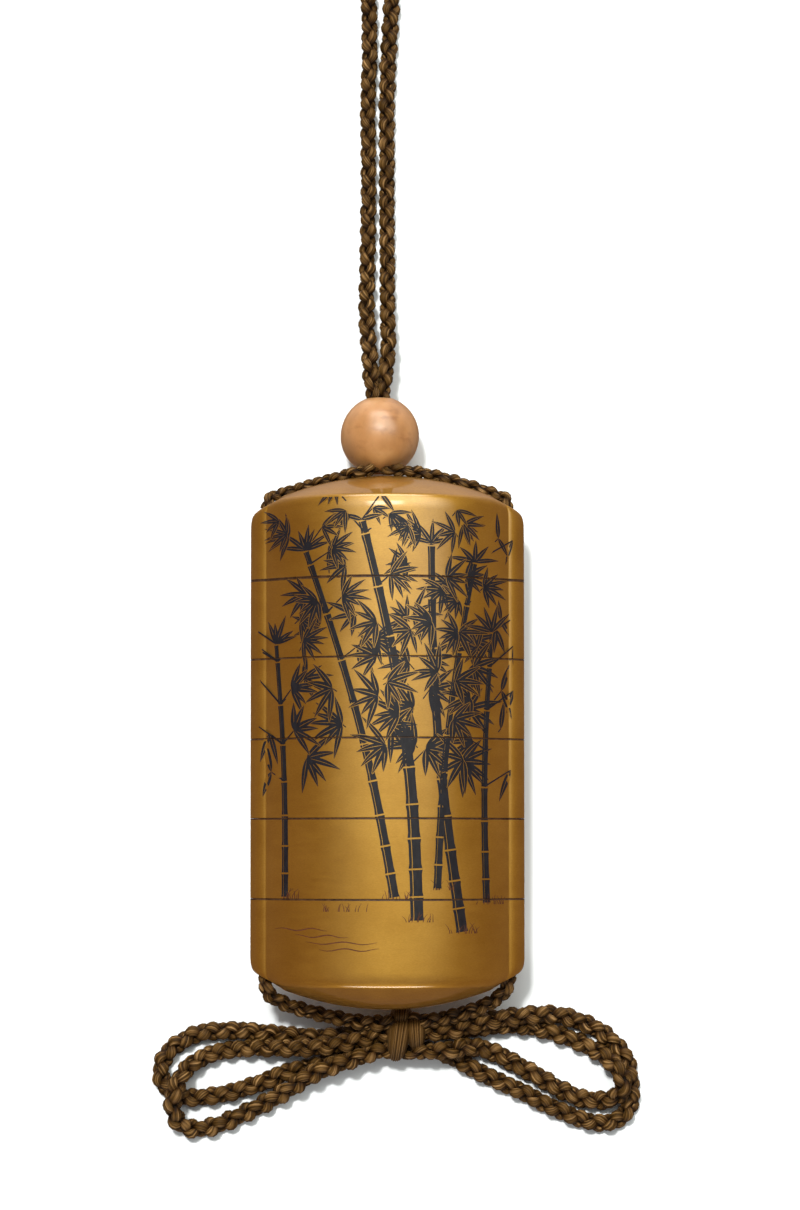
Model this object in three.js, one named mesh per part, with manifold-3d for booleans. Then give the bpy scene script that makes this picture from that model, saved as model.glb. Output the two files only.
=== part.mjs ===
// A lacquered inro: a small tiered case of a lid and five trays, with its bead and its silk cord.
// It lies on its back.
// Millimetres. X is the width, +Y runs up the case from tray to lid, +Z is up, and it lies on Z = 0.

import * as THREE from "three";
import { mergeVertices } from "three/addons/utils/BufferGeometryUtils.js";
import Module from "manifold-3d";

const wasm = await Module();
wasm.setup();

// ---------------------------------------------------------------- driving dimensions

const HALF_WIDTH = 24;
const HALF_THICKNESS = 11.5;
const BACK_FLAT = 0.5; // taken off the back, so that the case lies still
const AXIS_Z = HALF_THICKNESS - BACK_FLAT;
const RIM_Y = 42.2; // the edge where the front meets each domed end
const CROWN = 4.6; // the domed ends above their rims
const SEAM_Y = [28.3, 14.5, 0.5, -13.4, -27.4]; // under the lid, and under each tray but the last
const SEAM_GAP = 0.12;

// The plan of the case: a lens with a cord rib along each side.
const LENS_DROP = 0.8; // the share of the half thickness that the lens loses at its edge
const LENS_EDGE = 21.3;
const LENS_POWER = 2.19;
const RIB = { x: 20.9, wide: HALF_WIDTH - 20.9, deep: 2.5 };

// The ends of the case.
const CROWN_RADIUS = 48;
const SHOULDER_X = 18; // where the crown turns down to the sides
const SHOULDER_SLOPE = 0.645;
const RIM_BEND = { start: 17, drop: 2.55, power: 2.2 };

// The hollows.
const CHANNEL = { x: 21.2, radius: 1.75, sides: 16 };
const SKIRT = { inset: 1.4, halfWidth: 18.3, depth: 4.6 };
const RISER = { inset: 1.7, halfWidth: 18, height: 4.2, root: 1 };
const TRAY = { inset: 2.8, halfWidth: 16.9, corner: 1.2 };
const FLOOR = 1.4;
const END_WALL = 0.3; // from a rim plane to the flat end of the hollow behind the dome

// The cord and its bead.
// The cord is squeezed thinner where it bends over the crown.
const CORD_RADIUS = { channel: 1.45, crown: 1, upper: 1.3, bow: 1.4 };
const CORD_SIDES = 8;
const HOLE_Y = 41.2; // where the cord leaves its channel
const BEAD = { x: -1.35, y: 54.45, z: 6.98, radius: 6.95, halfHeight: 6.52, bore: 2.3, lip: 0.25 };
const KNOT = { x: 3.3, y: -51.25, z: 4.05, halfWidth: 3.5, halfHeight: 4.3, halfDepth: 3.95, round: 0.8 };
const TOUCH = 0.3; // the gap that pieces in touch keep between their meshes

// How finely the surfaces are divided.
const RIB_STEPS = 5;
const LENS_STEPS = 12;
// Shares of the plan, from the pole of a dome to its rim.
const DOME_RINGS = [0.16, 0.36, 0.56, 0.74, 0.88, 0.96, 1];
const HOLLOW_STEP = 1.4;
const BEAD_STEPS = { around: 24, up: 10 };
const KNOT_STEPS = { around: 10, round: 3 };
const SLOPE_STEP = 0.01;

// ---------------------------------------------------------------- materials

const lacquer = new THREE.MeshStandardMaterial({ color: 0xb07a2c, roughness: 0.25, metalness: 0.6 });
const beadStone = new THREE.MeshStandardMaterial({ color: 0xd98a4e, roughness: 0.2, metalness: 0 });
const silk = new THREE.MeshStandardMaterial({ color: 0x4a3520, roughness: 0.7, metalness: 0 });

// ---------------------------------------------------------------- form of the case

function lensDepth(x) {
  return HALF_THICKNESS * (1 - LENS_DROP * (Math.abs(x) / LENS_EDGE) ** LENS_POWER);
}

function ribDepth(x) {
  const across = (Math.abs(x) - RIB.x) / RIB.wide;
  return RIB.deep * Math.sqrt(Math.max(0, 1 - across * across));
}

// Half the thickness of the case at x.
function halfDepth(x) {
  return Math.abs(x) < RIB.x ? lensDepth(x) : Math.max(lensDepth(x), ribDepth(x));
}

// Where the lens meets the rib.
function crease() {
  let x = RIB.x;
  while (lensDepth(x) > ribDepth(x)) x += SLOPE_STEP;
  return x;
}

// One quarter of the plan, from the tip of the rib to the middle of the front.
function quarterPlan() {
  const edge = crease();
  const start = Math.acos((edge - RIB.x) / RIB.wide);
  const points = [];
  for (let i = 0; i < RIB_STEPS; i++) {
    const a = (start * i) / RIB_STEPS;
    points.push([RIB.x + RIB.wide * Math.cos(a), RIB.deep * Math.sin(a)]);
  }
  for (let i = 0; i <= LENS_STEPS; i++) {
    const x = edge * Math.cos((Math.PI / 2) * (i / LENS_STEPS));
    points.push([x, lensDepth(x)]);
  }
  return points;
}

function wholePlan() {
  const quarter = quarterPlan();
  const half = [...quarter, ...quarter.slice(0, -1).reverse().map(([x, z]) => [-x, z])];
  const back = half.slice(1, -1).reverse().map(([x, z]) => [x, -z]);
  return [...half, ...back];
}

// How far an end stands above its rim plane, on the ridge at mid depth and at the edge of the plan.
function ridgeHeight(x) {
  const out = Math.abs(x);
  const crown = (at) => CROWN - (at * at) / (2 * CROWN_RADIUS);
  return out < SHOULDER_X ? crown(out) : crown(SHOULDER_X) - SHOULDER_SLOPE * (out - SHOULDER_X);
}

function rimHeight(x) {
  const out = Math.max(0, Math.abs(x) - RIM_BEND.start) / (HALF_WIDTH - RIM_BEND.start);
  return -RIM_BEND.drop * out ** RIM_BEND.power;
}

function endHeight(x, z) {
  const across = Math.min(1, Math.abs(z) / Math.max(halfDepth(x), 1e-6));
  const rim = rimHeight(x);
  return rim + Math.max(0, ridgeHeight(x) - rim) * (1 - across * across);
}

// The outside of the closed case as one skin: rings of the plan, shrunk over each domed end.
function caseSkin() {
  const plan = wholePlan();
  const rings = DOME_RINGS.map((share) => ({ share, side: -1 }));
  rings.push(...[...DOME_RINGS].reverse().map((share) => ({ share, side: 1 })));
  const positions = [];
  const faces = [];
  for (const { share, side } of rings)
    for (const [x, z] of plan) {
      const height = share === 1 ? rimHeight(x) : endHeight(x * share, z * share);
      positions.push(x * share, side * (RIM_Y + height), z * share);
    }
  const n = plan.length;
  for (let r = 0; r + 1 < rings.length; r++)
    for (let i = 0; i < n; i++) {
      const j = (i + 1) % n;
      const [a, b, c, d] = [r * n + i, r * n + j, (r + 1) * n + j, (r + 1) * n + i];
      faces.push(a, d, c, a, c, b);
    }
  for (const side of [-1, 1]) {
    const pole = positions.length / 3;
    positions.push(0, side * (RIM_Y + CROWN), 0);
    const first = side < 0 ? 0 : (rings.length - 1) * n;
    for (let i = 0; i < n; i++) {
      const [a, b] = [first + i, first + ((i + 1) % n)];
      faces.push(...(side < 0 ? [pole, a, b] : [pole, b, a]));
    }
  }
  const geometry = new THREE.BufferGeometry();
  geometry.setAttribute("position", new THREE.BufferAttribute(new Float32Array(positions), 3));
  geometry.setIndex(faces);
  return geometry;
}

// ---------------------------------------------------------------- solids

function solid(geometry) {
  const plain = geometry.clone();
  plain.deleteAttribute("normal");
  plain.deleteAttribute("uv");
  const merged = mergeVertices(plain, 1e-4);
  return new wasm.Manifold(
    new wasm.Mesh({
      numProp: 3,
      vertProperties: new Float32Array(merged.attributes.position.array),
      triVerts: new Uint32Array(merged.index.array),
    }),
  );
}

function geometryOf(body) {
  const { vertProperties, triVerts } = body.getMesh();
  const geometry = new THREE.BufferGeometry();
  geometry.setAttribute("position", new THREE.BufferAttribute(new Float32Array(vertProperties), 3));
  geometry.setIndex(new THREE.BufferAttribute(new Uint32Array(triVerts), 1));
  geometry.computeVertexNormals();
  return geometry;
}

// A box across the whole case from one height to another.
function slab(low, high) {
  const size = 4 * HALF_WIDTH;
  return solid(new THREE.BoxGeometry(size, high - low, size).translate(0, (low + high) / 2, 0));
}

// The lens of the plan, moved inwards by `inset` and cut off at `halfWidth` with rounded corners.
function innerOutline(inset, halfWidth) {
  const corner = TRAY.corner;
  const curve = [];
  for (let x = 0; ; x += HOLLOW_STEP) {
    const slope = (lensDepth(x + SLOPE_STEP) - lensDepth(x)) / SLOPE_STEP;
    const norm = Math.hypot(1, slope);
    const point = [x + (inset * slope) / norm, lensDepth(x) - inset / norm];
    if (point[0] > halfWidth - corner) break;
    curve.push(point);
  }
  const [lastX, lastZ] = curve.at(-1);
  const fall = (lastZ - curve.at(-2)[1]) / (lastX - curve.at(-2)[0]);
  const cornerZ = lastZ + fall * (halfWidth - lastX);
  const quarter = new THREE.Shape();
  quarter.moveTo(lastX, lastZ);
  quarter.quadraticCurveTo(halfWidth, cornerZ, halfWidth, cornerZ - corner);
  const rounding = quarter.getPoints(3).slice(1).map((p) => [p.x, p.y]);
  const right = [...curve, ...rounding];
  const front = [...right.slice(1).reverse().map(([x, z]) => [-x, z]), ...right];
  const back = [...front].reverse().map(([x, z]) => [x, -z]);
  return new THREE.Shape([...front, ...back].map(([x, z]) => new THREE.Vector2(x, z)));
}

function prism(outline, low, high) {
  const geometry = new THREE.ExtrudeGeometry(outline, { depth: high - low, bevelEnabled: false });
  return solid(geometry.rotateX(-Math.PI / 2).translate(0, low, 0));
}

function caseBody() {
  const size = 4 * HALF_WIDTH;
  const under = new THREE.BoxGeometry(size, size, size).translate(0, 0, -AXIS_Z - size / 2);
  let body = solid(caseSkin()).subtract(solid(under));
  for (const side of [-1, 1]) {
    const hole = new THREE.CylinderGeometry(CHANNEL.radius, CHANNEL.radius, size, CHANNEL.sides);
    body = body.subtract(solid(hole.translate(side * CHANNEL.x, 0, 0)));
  }
  return body;
}

const body = caseBody();
const skirtOutline = innerOutline(SKIRT.inset, SKIRT.halfWidth);
const riserOutline = innerOutline(RISER.inset, RISER.halfWidth);
const trayOutline = innerOutline(TRAY.inset, TRAY.halfWidth);

// A stretch of the case with a recess below it that takes the riser of the next piece down.
function stretch(low, high) {
  return body.intersect(slab(low, high));
}

function makeLid() {
  const low = SEAM_Y[0] + SEAM_GAP / 2;
  return stretch(low, 2 * RIM_Y)
    .subtract(prism(skirtOutline, low - 1, low + SKIRT.depth))
    .subtract(prism(trayOutline, low, RIM_Y - END_WALL));
}

function makeTray(index) {
  const last = index === SEAM_Y.length - 1;
  const high = SEAM_Y[index] - SEAM_GAP / 2;
  const low = last ? -2 * RIM_Y : SEAM_Y[index + 1] + SEAM_GAP / 2;
  const floorTop = last ? -RIM_Y + END_WALL : low + SKIRT.depth + FLOOR;
  let tray = stretch(low, high);
  if (!last) tray = tray.subtract(prism(skirtOutline, low - 1, low + SKIRT.depth));
  tray = tray.add(prism(riserOutline, high - RISER.root, high + RISER.height));
  return tray.subtract(prism(trayOutline, floorTop, high + 2 * RISER.height));
}

// ---------------------------------------------------------------- bead and knot

function beadGeometry() {
  const profile = [];
  const lipAngle = Math.acos((BEAD.bore + BEAD.lip) / BEAD.radius);
  for (let i = 0; i <= BEAD_STEPS.up; i++) {
    const a = -lipAngle + (2 * lipAngle * i) / BEAD_STEPS.up;
    const rise = (BEAD.halfHeight * Math.sin(a)) / Math.sin(lipAngle);
    profile.push(new THREE.Vector2(BEAD.radius * Math.cos(a), rise));
  }
  const inside = BEAD.halfHeight - BEAD.lip;
  profile.push(new THREE.Vector2(BEAD.bore, inside), new THREE.Vector2(BEAD.bore, -inside));
  profile.push(profile[0].clone());
  return new THREE.LatheGeometry(profile, BEAD_STEPS.around);
}

// A tight wrap of cord: a rounded barrel whose flat sides face the loops.
function knotGeometry() {
  const outline = new THREE.Shape();
  outline.absellipse(0, 0, KNOT.halfDepth - KNOT.round, KNOT.halfHeight - KNOT.round, 0, 2 * Math.PI);
  const geometry = new THREE.ExtrudeGeometry(outline, {
    depth: 2 * (KNOT.halfWidth - KNOT.round),
    curveSegments: KNOT_STEPS.around,
    bevelThickness: KNOT.round,
    bevelSize: KNOT.round,
    bevelSegments: KNOT_STEPS.round,
  });
  geometry.translate(0, 0, -(KNOT.halfWidth - KNOT.round));
  return geometry.rotateY(Math.PI / 2);
}

// ---------------------------------------------------------------- cord

// Each run is one stretch of the cord: its radius, the steps of its tube and the points of its middle.
const cordRuns = {
  cord_crown_left: {
    radius: CORD_RADIUS.crown,
    steps: 9,
    points: [
      [-CHANNEL.x, HOLE_Y, AXIS_Z], [-21.1, 42, 10.9], [-20.7, 43, 10.1], [-19.8, 43.6, 8.9],
      [-18.5, 44.15, 7.8], [-16.8, 44.7, 7.1], [-14.1, 45.6, 6.9], [-11.3, 46.35, 7.2],
      [-8.2, 47, 8.6], [-5.9, 47.5, 10.2], [-3.7, 47.8, 11.3],
    ],
  },
  cord_crown_right: {
    radius: CORD_RADIUS.crown,
    steps: 9,
    points: [
      [CHANNEL.x, HOLE_Y, AXIS_Z], [21.1, 42, 10.9], [20.7, 43, 10.1], [19.8, 43.6, 8.9],
      [18.5, 44.15, 7.9], [16.8, 44.8, 7.5], [14.1, 45.7, 7.7], [11.2, 46.5, 8.2], [8.2, 47.2, 9.2],
      [5.2, 47.6, 10.4], [3, 47.8, 11], [1.1, 47.85, 11.4],
    ],
  },
  cord_leg_left: {
    radius: CORD_RADIUS.upper,
    steps: 5,
    points: [
      [-2.6, 61.4, 8.2], [-2.9, 64.3, 7.9], [-3.2, 69.7, 6], [-3.6, 74, 4.2], [-3.7, 79, 2.6],
      [-3.6, 85, 1.7], [-3.4, 97, 1.6], [-3.4, 106, 1.6], [-3.5, 115, 1.6], [-3.2, 124, 1.6],
      [-3.3, 132.7, 1.6], [-3.5, 145, 1.6], [-4.2, 160, 1.6],
    ],
  },
  cord_leg_right: {
    radius: CORD_RADIUS.upper,
    steps: 5,
    points: [
      [-0.6, 61.4, 6.4], [-0.5, 64.3, 6.1], [0.1, 69.7, 5.2], [0.1, 74, 3.8], [0, 79, 2.6],
      [0, 85, 1.7], [-0.1, 97, 1.6], [-0.1, 106, 1.6], [-0.1, 115, 1.6], [0.2, 124, 1.6],
      [0.7, 132.7, 1.6], [0.9, 145, 1.6], [1.4, 160, 1.6],
    ],
  },
  cord_bight: {
    radius: CORD_RADIUS.upper,
    steps: 8,
    points: [
      [-4.22, 160.3, 1.6], [-5.3, 168, 1.6], [-6.8, 176, 1.6], [-7.6, 183, 1.6], [-7.7, 188, 1.6],
      [-5.9, 192.4, 1.6], [-1.5, 194.2, 1.6], [2.9, 192.4, 1.6], [4.7, 188, 1.6], [4.6, 183, 1.6],
      [3.9, 176, 1.6], [2.5, 168, 1.6], [1.42, 160.3, 1.6],
    ],
  },
  cord_runner_left: {
    radius: CORD_RADIUS.bow,
    steps: 7,
    points: [
      [-CHANNEL.x, -HOLE_Y, AXIS_Z], [-21.3, -42.6, 11], [-20.8, -44, 10.2], [-19.2, -45.3, 8.7],
      [-16.9, -46.1, 7], [-13.3, -46.9, 5.6], [-10, -47.6, 5], [-6.5, -48.3, 4.9], [-3, -48.8, 5.3],
      [-0.6, -48.9, 5.8],
    ],
  },
  cord_runner_right: {
    radius: CORD_RADIUS.bow,
    steps: 6,
    points: [
      [CHANNEL.x, -HOLE_Y, AXIS_Z], [21.3, -42.6, 11], [21, -44, 10.2], [19.3, -45.4, 8.3],
      [16.4, -46.3, 6.2], [13.2, -47, 5.7], [10.2, -47.6, 5.4], [7.2, -48, 5.3],
    ],
  },
  bow_loop_upper_left: {
    radius: CORD_RADIUS.bow,
    steps: 12,
    points: [
      [-0.6, -50.5, 1.6], [-3.9, -51.2, 1.6], [-8.2, -51.8, 1.6], [-11, -52.2, 1.6],
      [-13.5, -52.2, 1.6], [-16, -52, 1.6], [-20.8, -51.5, 1.6], [-26.2, -51, 1.6],
      [-32.2, -51.2, 1.6], [-35.4, -52.2, 1.6], [-38.3, -54.1, 1.6], [-39.9, -56.4, 1.6],
      [-40.3, -58.7, 1.6], [-39.3, -61.1, 1.6], [-37, -62.5, 1.6], [-33.4, -62.8, 1.6],
      [-29.3, -62.2, 1.6], [-25.7, -61.3, 1.6], [-22.5, -60.2, 1.6], [-19.3, -58.9, 1.6],
      [-16.1, -57.9, 1.6], [-13.1, -57.3, 1.6], [-10.1, -56.5, 1.6], [-7.4, -55.6, 1.6],
      [-4.9, -54.8, 1.6], [-2.5, -54.2, 1.6], [-0.6, -54, 1.6],
    ],
  },
  bow_loop_lower_left: {
    radius: CORD_RADIUS.bow,
    steps: 15,
    points: [
      [-0.6, -51.4, 4.3], [-3.1, -51.9, 4.4], [-5.7, -52.6, 4.5], [-9.1, -53.3, 4.4],
      [-12.5, -53.8, 4.1], [-16.1, -54, 3.7], [-20, -54, 3.1], [-23.6, -54, 2.4], [-26.5, -54.2, 1.8],
      [-31, -55, 1.8], [-34.2, -56.5, 2.5], [-35.9, -58.1, 3.5], [-37, -59.9, 4.7],
      [-37.7, -62.1, 5.2], [-37.9, -64.3, 4.7], [-37.5, -66.4, 3.2], [-36.1, -67.9, 2],
      [-33.5, -68.4, 1.6], [-30.5, -67.8, 1.6], [-27.4, -66.6, 1.6], [-24.1, -65, 1.6],
      [-21.3, -63.6, 1.8], [-18.8, -62.1, 2.5], [-16.4, -60.5, 3.5], [-13.4, -58.6, 4.2],
      [-10.2, -57.2, 4.5], [-7.2, -56.2, 4.7], [-4.5, -55.2, 4.8], [-2.5, -54.6, 4.8],
      [-0.6, -54.3, 4.8],
    ],
  },
  bow_loop_outer_right: {
    radius: CORD_RADIUS.bow,
    steps: 13,
    points: [
      [7.2, -51.2, 4.6], [9.3, -51, 4.6], [12.5, -50.5, 4.6], [16.1, -49.5, 4.6], [19.6, -48.7, 4.5],
      [23.6, -48.3, 4.1], [27.6, -48, 3], [30.8, -48.3, 2], [33.6, -49.1, 1.6], [36.4, -50.3, 1.6],
      [38.9, -51.9, 1.6], [40.7, -53.6, 1.6], [42.1, -55.5, 1.6], [42.9, -57.8, 1.6],
      [43.2, -60.4, 1.6], [43.3, -62.9, 1.6], [42.6, -65.1, 1.6], [41.1, -66.6, 1.6],
      [38.6, -67.3, 1.6], [36, -67.1, 1.6], [33.4, -66.3, 1.6], [30.8, -65.2, 1.6], [27.9, -63.9, 1.6],
      [22.9, -61.3, 1.6], [18.1, -59.2, 1.6], [13.3, -56.6, 1.6], [11, -55.4, 1.6], [9, -54.6, 1.6],
      [7.2, -54.3, 1.6],
    ],
  },
  bow_loop_inner_right: {
    radius: CORD_RADIUS.bow,
    steps: 13,
    points: [
      [7.2, -51.1, 1.6], [12.5, -51, 1.6], [16.1, -50.5, 1.6], [19.7, -50.1, 1.6], [23.6, -50.1, 1.6],
      [27, -50.7, 1.6], [30.4, -51.6, 1.6], [33.3, -52.7, 1.6], [36.1, -54, 1.7], [38.4, -55.3, 2.4],
      [40.1, -56.9, 3.4], [41.3, -58.4, 4.1], [41.7, -60.2, 4.3], [41.1, -62, 3.7], [39.4, -63.1, 2.4],
      [37, -63.3, 1.7], [34.9, -63.1, 1.6], [32.9, -62.4, 1.6], [29.9, -60.9, 1.6], [27, -59.2, 1.6],
      [22.9, -56.9, 1.6], [18.1, -54.5, 1.7], [15.8, -53.9, 2.4], [13.3, -53.8, 3.9],
      [10.5, -54.3, 4.8], [7.2, -54.5, 4.9],
    ],
  },
};

for (const [side, name] of [[-1, "left"], [1, "right"]])
  cordRuns["cord_channel_" + name] = {
    radius: CORD_RADIUS.channel,
    steps: 1,
    points: [-1, 1].map((end) => [side * CHANNEL.x, end * (HOLE_Y - TOUCH), AXIS_Z]),
  };

function cordGeometry({ points, radius, steps }) {
  const section = new THREE.Shape();
  for (let i = 0; i < CORD_SIDES; i++) {
    const a = (2 * Math.PI * i) / CORD_SIDES;
    const corner = [radius * Math.cos(a), radius * Math.sin(a)];
    if (i === 0) section.moveTo(...corner);
    else section.lineTo(...corner);
  }
  const middle = points.map((p) => new THREE.Vector3(...p));
  const path = new THREE.CatmullRomCurve3(middle, false, "centripetal");
  return new THREE.ExtrudeGeometry(section, { steps, bevelEnabled: false, extrudePath: path });
}

// Both strands squeezed together inside the bead.
function beadFill() {
  const radius = BEAD.bore - TOUCH;
  return new THREE.CylinderGeometry(radius, radius, 2 * (BEAD.halfHeight - BEAD.lip), CORD_SIDES);
}

// ---------------------------------------------------------------- the whole object

function piece(name, geometry, material) {
  const mesh = new THREE.Mesh(geometry, material);
  mesh.name = name;
  return mesh;
}

const inro = new THREE.Group();
inro.position.z = AXIS_Z;
inro.add(piece("lid", geometryOf(makeLid()), lacquer));
SEAM_Y.forEach((_, i) => inro.add(piece("case_" + (i + 1), geometryOf(makeTray(i)), lacquer)));

const bead = new THREE.Group();
bead.position.set(BEAD.x, BEAD.y, BEAD.z);
bead.add(piece("ojime", beadGeometry(), beadStone), piece("cord_in_bead", beadFill(), silk));

const knot = piece("bow_knot", knotGeometry(), silk);
knot.position.set(KNOT.x, KNOT.y, KNOT.z);

const cord = new THREE.Group();
for (const [name, run] of Object.entries(cordRuns)) cord.add(piece(name, cordGeometry(run), silk));

const object = new THREE.Group();
object.add(inro, bead, knot, cord);

export default object;
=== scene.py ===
"""A lacquered inro with its bead and its silk cord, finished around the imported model.

The object's lengths are in millimetres in the model's own frame until a mesh is made from them.
"""
import math
import random

import bmesh
import bpy
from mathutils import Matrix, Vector
from mathutils.geometry import interpolate_bezier


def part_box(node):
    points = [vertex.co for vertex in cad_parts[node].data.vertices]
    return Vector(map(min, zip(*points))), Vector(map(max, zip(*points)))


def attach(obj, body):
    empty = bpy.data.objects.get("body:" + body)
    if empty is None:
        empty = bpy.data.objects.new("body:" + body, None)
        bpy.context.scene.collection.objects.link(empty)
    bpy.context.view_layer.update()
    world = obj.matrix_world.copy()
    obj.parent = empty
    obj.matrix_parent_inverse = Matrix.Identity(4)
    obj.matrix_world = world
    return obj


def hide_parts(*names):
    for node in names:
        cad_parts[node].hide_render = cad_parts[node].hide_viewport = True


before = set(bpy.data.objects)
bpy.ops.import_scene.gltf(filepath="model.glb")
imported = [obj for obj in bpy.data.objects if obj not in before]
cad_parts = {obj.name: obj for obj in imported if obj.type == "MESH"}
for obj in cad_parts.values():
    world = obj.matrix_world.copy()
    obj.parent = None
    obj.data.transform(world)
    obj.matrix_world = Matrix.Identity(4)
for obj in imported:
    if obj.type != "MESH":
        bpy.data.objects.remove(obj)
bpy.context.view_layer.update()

MM = 0.001


def box_mm(node):
    low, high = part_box(node)
    return low / MM, high / MM


def add_object(name, data):
    obj = bpy.data.objects.new(name, data)
    bpy.context.scene.collection.objects.link(obj)
    return obj


# ---- dimensions of the case

HALF_THICKNESS = 11.5
SEAM_GAP = 0.12
SEAM_SHUT = 0.03
CROWN = 4.6
LENS = {"drop": 0.8, "edge": 21.3, "power": 2.19}
RIB = {"x": 20.9, "deep": 2.5, "out": 1.5, "up": 1 / 0.65}
CROWN_RADIUS = 48
SHOULDER = {"x": 18, "slope": 0.645}
RIM_BEND = {"start": 17, "drop": 2.55, "power": 2.2}
CHANNEL = {"x": 21.2, "radius": 1.75, "sides": 40}
SKIRT = {"inset": 1.4, "half_width": 18.3, "depth": 4.6}
RISER = {"inset": 1.7, "half_width": 18, "height": 4.2}
TRAY = {"inset": 2.8, "half_width": 16.9, "corner": 1.2}
FLOOR = 1.4
END_WALL = 0.3
EDGE_ROUND = 0.085
RIM_ROUND = 0.8
RIM_RUN = 2.2
WALL_MARGIN = 0.15
RIB_STEPS, LENS_STEPS, WALL_STEPS, EDGE_STEPS, RIM_STEPS = 14, 44, 6, 3, 12
DOME_SHARES = (0.03, 0.08, 0.15, 0.24, 0.34, 0.45, 0.56, 0.66, 0.75, 0.83, 0.9, 0.95)
CORNER_SHARES = (0.2, 0.4, 0.6, 0.8, 1)
INNER_STEP = 0.35
NUDGE = 0.01
SHARP_ANGLE = math.radians(32)

LID_LOW, LID_HIGH = box_mm("lid")
HALF_WIDTH = LID_HIGH.x
RIM_Y = LID_HIGH.y - CROWN
AXIS_Z = LID_HIGH.z - HALF_THICKNESS
TRAY_NAMES = ["case_%d" % number for number in range(1, 6)]
WALL_TOP = RIM_Y - RIM_BEND["drop"] - RIM_RUN - WALL_MARGIN
SEAM_Y = [box_mm(name)[0].y - SEAM_GAP / 2 for name in ["lid"] + TRAY_NAMES[:-1]]


# ---- form of the case

def lens_depth(x):
    return HALF_THICKNESS * (1 - LENS["drop"] * (abs(x) / LENS["edge"]) ** LENS["power"])


def rib_depth(x):
    across = max(0, abs(x) - RIB["x"]) / (HALF_WIDTH - RIB["x"])
    return RIB["deep"] * max(0, 1 - across ** RIB["out"]) ** (1 / RIB["up"])


def half_depth(x):
    return lens_depth(x) if abs(x) < RIB["x"] else max(lens_depth(x), rib_depth(x))


def ridge_height(x):
    out = abs(x)
    crown = CROWN - min(out, SHOULDER["x"]) ** 2 / (2 * CROWN_RADIUS)
    return crown - SHOULDER["slope"] * max(0, out - SHOULDER["x"])


def rim_height(x):
    out = max(0, abs(x) - RIM_BEND["start"]) / (HALF_WIDTH - RIM_BEND["start"])
    return -RIM_BEND["drop"] * out ** RIM_BEND["power"]


def end_height(x, z):
    """How far a domed end stands above its rim plane."""
    across = min(1, abs(z) / max(half_depth(x), 1e-6))
    rim = rim_height(x)
    return rim + max(0, ridge_height(x) - rim) * (1 - across * across)


def mirrored(quarter):
    """The closed outline whose first quarter runs from its tip on +X to the middle of its front."""
    half = quarter + [(-x, z) for x, z in reversed(quarter[:-1])]
    return half + [(x, -z) for x, z in reversed(half[1:-1])]


def case_quarter():
    """The outline from the tip of a rib to the middle of the front."""
    edge = RIB["x"]
    while lens_depth(edge) > rib_depth(edge):
        edge += NUDGE
    reach = HALF_WIDTH - RIB["x"]
    start = math.acos(((edge - RIB["x"]) / reach) ** (RIB["out"] / 2))
    rib = []
    for step in range(RIB_STEPS):
        a = start * step / RIB_STEPS
        rib.append((
            RIB["x"] + reach * math.cos(a) ** (2 / RIB["out"]),
            RIB["deep"] * math.sin(a) ** (2 / RIB["up"]),
        ))
    across = [edge * math.cos(math.pi / 2 * step / LENS_STEPS) for step in range(LENS_STEPS + 1)]
    return rib + [(x, lens_depth(x)) for x in across]


def inner_quarter(inset, half_width):
    """The lens moved inwards by a wall's thickness and cut off at its sides with round corners."""
    corner = TRAY["corner"]
    curve = []
    x = 0
    while True:
        slope = (lens_depth(x + NUDGE) - lens_depth(x)) / NUDGE
        norm = math.hypot(1, slope)
        point = (x + inset * slope / norm, lens_depth(x) - inset / norm)
        if point[0] > half_width - corner:
            break
        curve.append(point)
        x += INNER_STEP
    curve_end = last_x, last_z = curve[-1]
    before_x, before_z = curve[-2]
    corner_z = last_z + (last_z - before_z) / (last_x - before_x) * (half_width - last_x)
    for t in CORNER_SHARES:
        curve.append(turned(t, curve_end, (half_width, corner_z), (half_width, corner_z - corner)))
    curve.append((half_width, 0))
    return curve[::-1]


def reach_along(line):
    """The length of a line up to each of its points."""
    reach = [0]
    for a, b in zip(line, line[1:]):
        reach.append(reach[-1] + math.dist(a, b))
    return reach


def turned(t, start, corner, end):
    """A point on the curve from start to end that turns a corner; t runs from 0 to 1."""
    shares = ((1 - t) ** 2, 2 * t * (1 - t), t * t)
    return [sum(share * c for share, c in zip(shares, cs)) for cs in zip(start, corner, end)]


def spread(line, shares):
    """Points on a line at the given shares of its length."""
    reach = reach_along(line)
    points = []
    at = 0
    for share in shares:
        goal = share * reach[-1]
        while at < len(line) - 2 and reach[at + 1] < goal:
            at += 1
        part = min(1, max(0, (goal - reach[at]) / (reach[at + 1] - reach[at])))
        points.append(tuple(a + (b - a) * part for a, b in zip(line[at], line[at + 1])))
    return points


def moved_in(outline, distance):
    """The outline moved inwards along its normals."""
    count = len(outline)
    moved = []
    for i, (x, z) in enumerate(outline):
        (x0, z0), (x1, z1) = outline[i - 1], outline[(i + 1) % count]
        length = math.hypot(x1 - x0, z1 - z0)
        moved.append((x - distance * (z1 - z0) / length, z + distance * (x1 - x0) / length))
    return moved


def inner_plan(form):
    """An inner outline with its points spaced as on the case's own outline."""
    return mirrored(spread(inner_quarter(form["inset"], form["half_width"]), CASE_SHARES))


CASE_QUARTER = case_quarter()
CASE_REACH = reach_along(CASE_QUARTER)
CASE_SHARES = [reach / CASE_REACH[-1] for reach in CASE_REACH]
CASE_PLAN = mirrored(CASE_QUARTER)
SKIRT_PLAN = inner_plan(SKIRT)
RISER_PLAN = inner_plan(RISER)
TRAY_PLAN = inner_plan(TRAY)


# ---- meshes

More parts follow.
